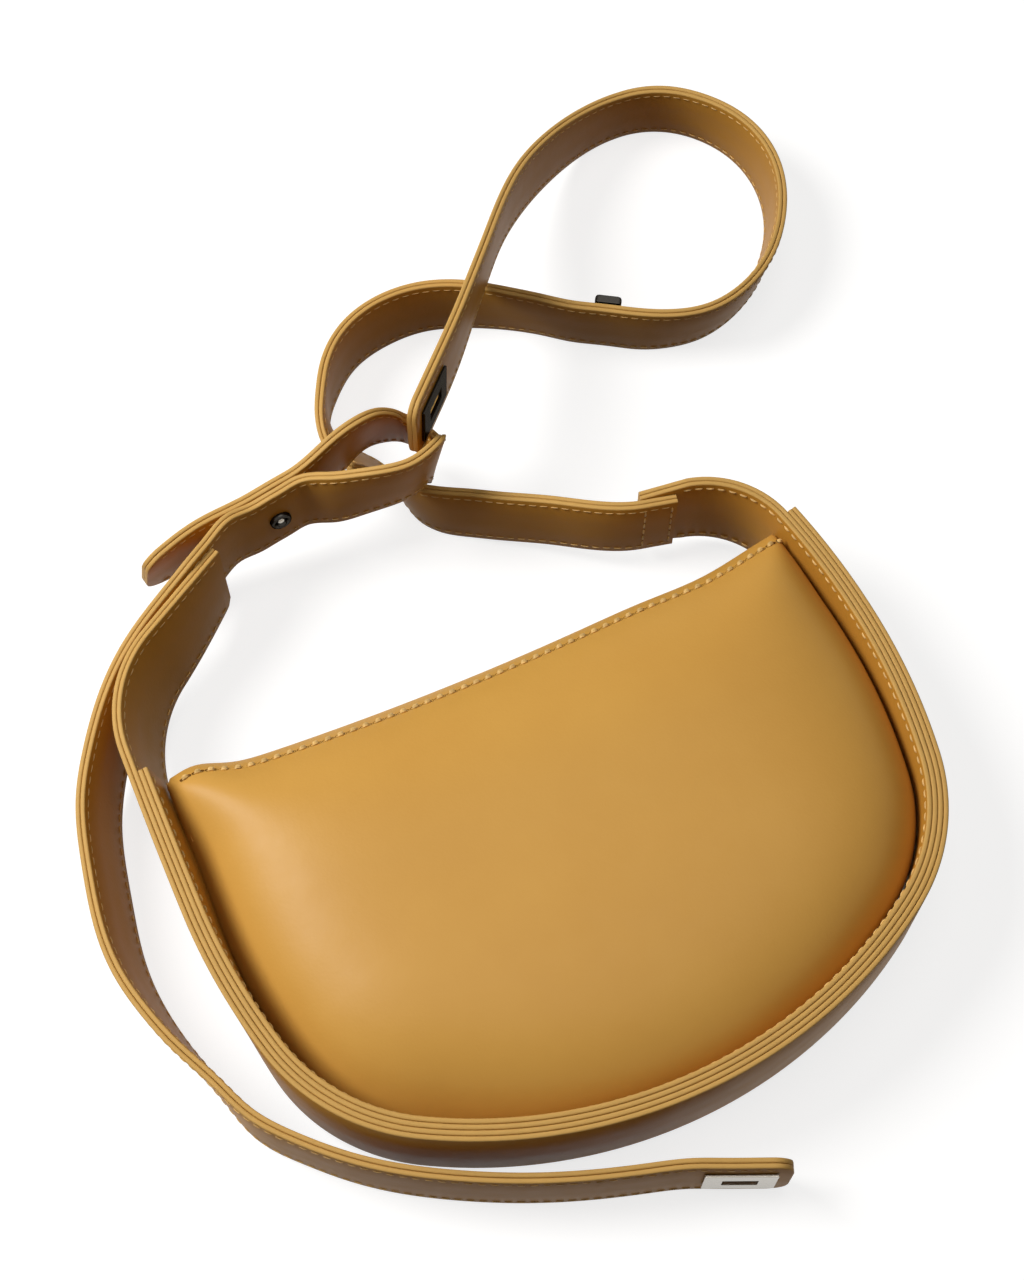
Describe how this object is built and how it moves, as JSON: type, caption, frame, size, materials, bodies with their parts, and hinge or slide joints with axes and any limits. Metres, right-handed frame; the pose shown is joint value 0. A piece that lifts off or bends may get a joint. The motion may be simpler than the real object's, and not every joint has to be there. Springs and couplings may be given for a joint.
{
  "type": "saddle handbag",
  "caption": "Soft saddle-shaped handbag lying on its back: crowned panels sewn into a layered band whose ends run on as tabs, looped leather straps, turn lock, eyelets and zip.",
  "frame": {"origin": "on the flat of the back panel that the bag rests on, midway between its sides", "axes": "+X to the bag's right, +Y from the rounded bottom to the mouth, +Z out of the front panel"},
  "size_m": [0.3084, 0.3583, 0.0649],
  "materials": {
    "band_leather": "smooth, painted edges",
    "panel_leather": "smooth, soft sheen",
    "lining_fabric": "plain weave",
    "tape_fabric": "woven tape",
    "zip_metal": "nickel plated",
    "strap_leather": "smooth, painted edges",
    "nickel_hardware": "nickel plated"
  },
  "bodies": {
    "bag": {"outer_band_outside": "band_leather", "outer_band_inside": "band_leather", "inner_band_outside": "band_leather", "inner_band_inside": "band_leather", "front_panel": "panel_leather", "back_panel": "panel_leather", "front_facing": "panel_leather", "back_facing": "panel_leather", "front_lining": "lining_fabric", "back_lining": "lining_fabric", "slip_pocket": "lining_fabric", "zip_tape_front": "tape_fabric", "zip_tape_back": "tape_fabric", "zip_teeth_front": "zip_metal", "zip_teeth_back": "zip_metal", "zip_end_stops": "zip_metal", "right_strap_outer": "strap_leather", "right_strap_inner": "strap_leather", "left_belt_outer": "strap_leather", "left_belt_inner": "strap_leather", "strap_eyelet_front": "nickel_hardware", "strap_eyelet_back": "nickel_hardware", "rivet_cap": "nickel_hardware", "rivet_post": "nickel_hardware", "lock_plate": "nickel_hardware", "lock_post": "nickel_hardware"},
    "belt_tail": {"belt_tail_outer": "strap_leather", "belt_tail_inner": "strap_leather", "belt_eyelet_front": "nickel_hardware", "belt_eyelet_back": "nickel_hardware"},
    "lock_knob": {"lock_knob": "nickel_hardware"},
    "zip_slider": {"zip_slider": "zip_metal"},
    "zip_pull": {"zip_pull": "zip_metal"}
  },
  "joints": [
    {"name": "belt_tail_swing", "type": "hinge", "parent": "bag", "child": "belt_tail", "pos_m": [-0.11352, -0.02601, 0.013], "axis": [0, 0, -1], "range_deg": [0, 35]},
    {"name": "lock_knob_turn", "type": "hinge", "parent": "bag", "child": "lock_knob", "pos_m": [0.09196, 0.17373, 0.01306], "axis": [-0.5364, -0.8259, -0.1736], "range_deg": [0, 90]},
    {"name": "zip_slide", "type": "slide", "parent": "bag", "child": "zip_slider", "axis": [-1, 0, 0], "range_m": [0, 0.16]},
    {"name": "zip_pull_swing", "type": "hinge", "parent": "zip_slider", "child": "zip_pull", "pos_m": [0.08, 0.06845, 0.019], "axis": [0, 0, -1], "range_deg": [0, 170]}
  ]
}
